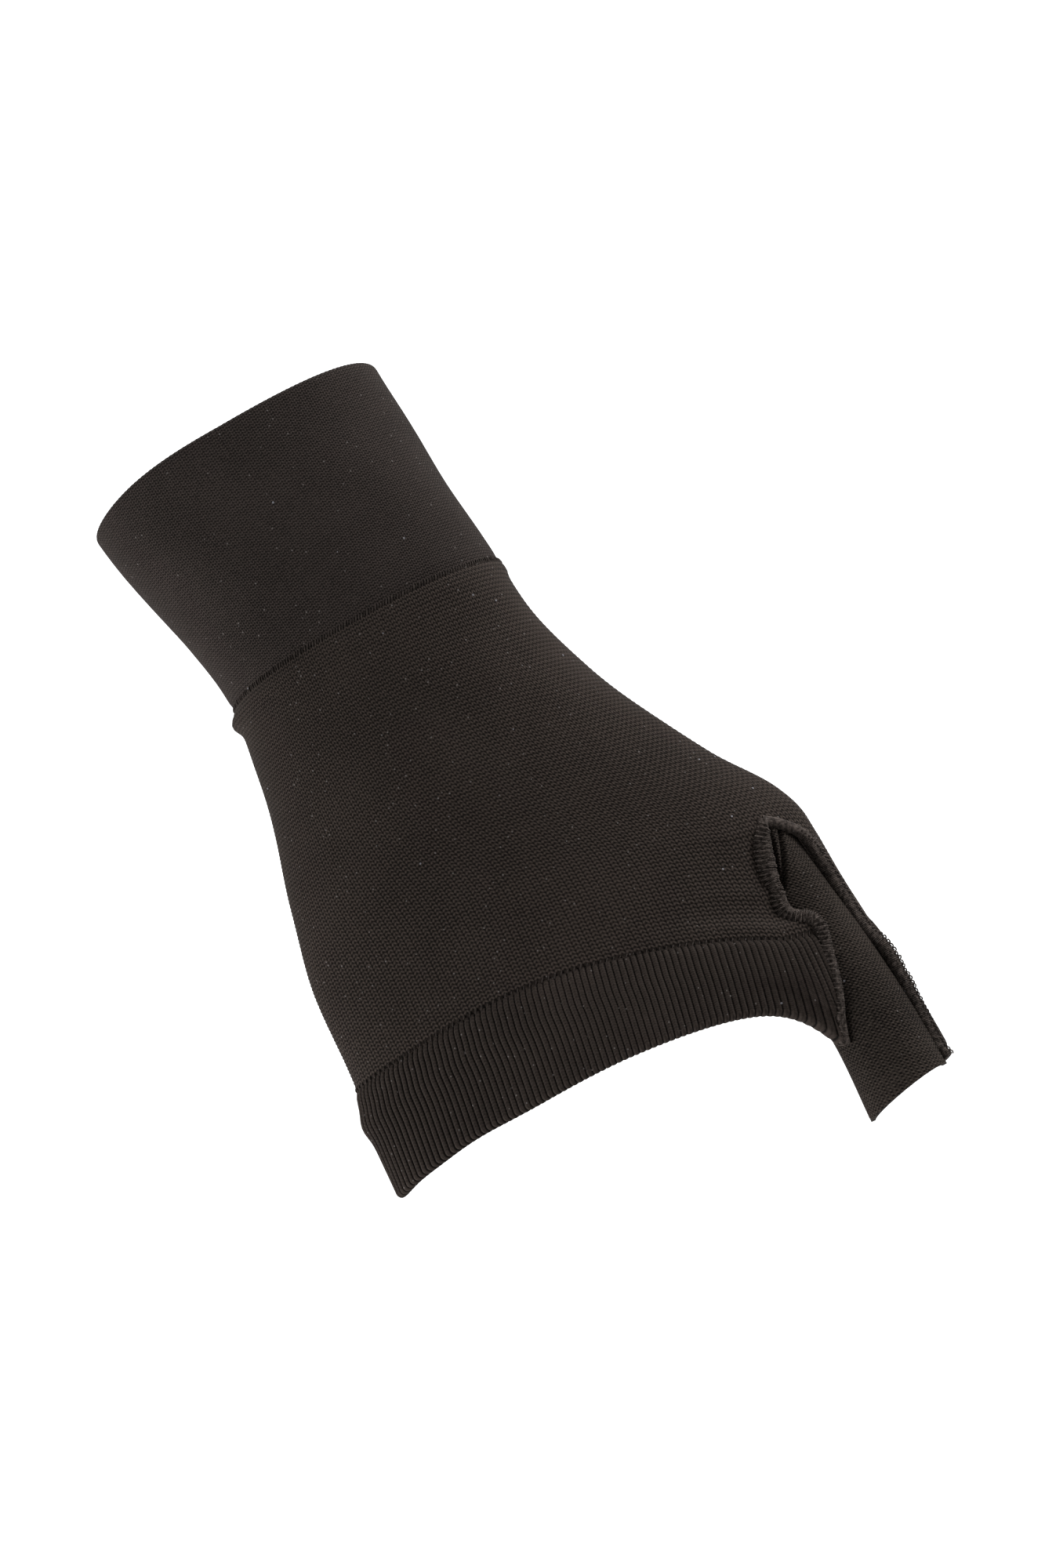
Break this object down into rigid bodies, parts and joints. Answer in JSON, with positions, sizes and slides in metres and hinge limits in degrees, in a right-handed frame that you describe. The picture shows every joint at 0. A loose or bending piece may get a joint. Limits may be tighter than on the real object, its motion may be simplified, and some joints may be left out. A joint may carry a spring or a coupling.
{
  "type": "wrist support brace",
  "caption": "Knitted compression sleeve for the right wrist and palm, with a double forearm cuff, a ribbed knuckle edge and a short open thumb stall.",
  "frame": {"origin": "middle of the wearer's wrist, inside the sleeve, level with the join between cuff and hand", "axes": "+Y along the forearm towards the elbow, the fingers at -Y, +X towards the thumb side, +Z out of the back of the hand"},
  "size_m": [0.1029, 0.1726, 0.0419],
  "materials": {
    "cuff_jersey": "fine double jersey, matt warm black with a faint sheen",
    "body_knit": "elastic plain knit with visible courses, matt warm black",
    "knuckle_rib": "one by one rib, matt warm black",
    "stall_knit": "reverse side of the knit, granular, matt warm black",
    "seam_thread": "textured overlock and linking thread, black"
  },
  "bodies": {
    "forearm": {"forearm_cuff": "cuff_jersey", "cuff_linking": "seam_thread"},
    "hand": {"hand_body": "body_knit", "rib_linking": "seam_thread", "knuckle_rib": "knuckle_rib", "dorsal_overlock": "seam_thread", "seam_tack": "seam_thread"},
    "thumb": {"thumb_stall": "stall_knit", "palmar_overlock": "seam_thread"}
  },
  "joints": [
    {"name": "wrist_flex", "type": "hinge", "parent": "forearm", "child": "hand", "pos_m": [0, -0.002, 0], "axis": [1, 0, 0], "range_deg": [-45, 50], "stiffness_Nm_per_rad": 0.25, "deforming": ["hand_body"]},
    {"name": "thumb_swing", "type": "hinge", "parent": "hand", "child": "thumb", "pos_m": [0.036, -0.034, -0.004], "axis": [0, 0, 1], "range_deg": [-6, 15], "stiffness_Nm_per_rad": 0.05, "deforming": ["hand_body", "knuckle_rib", "rib_linking", "dorsal_overlock", "palmar_overlock", "seam_tack"]}
  ]
}
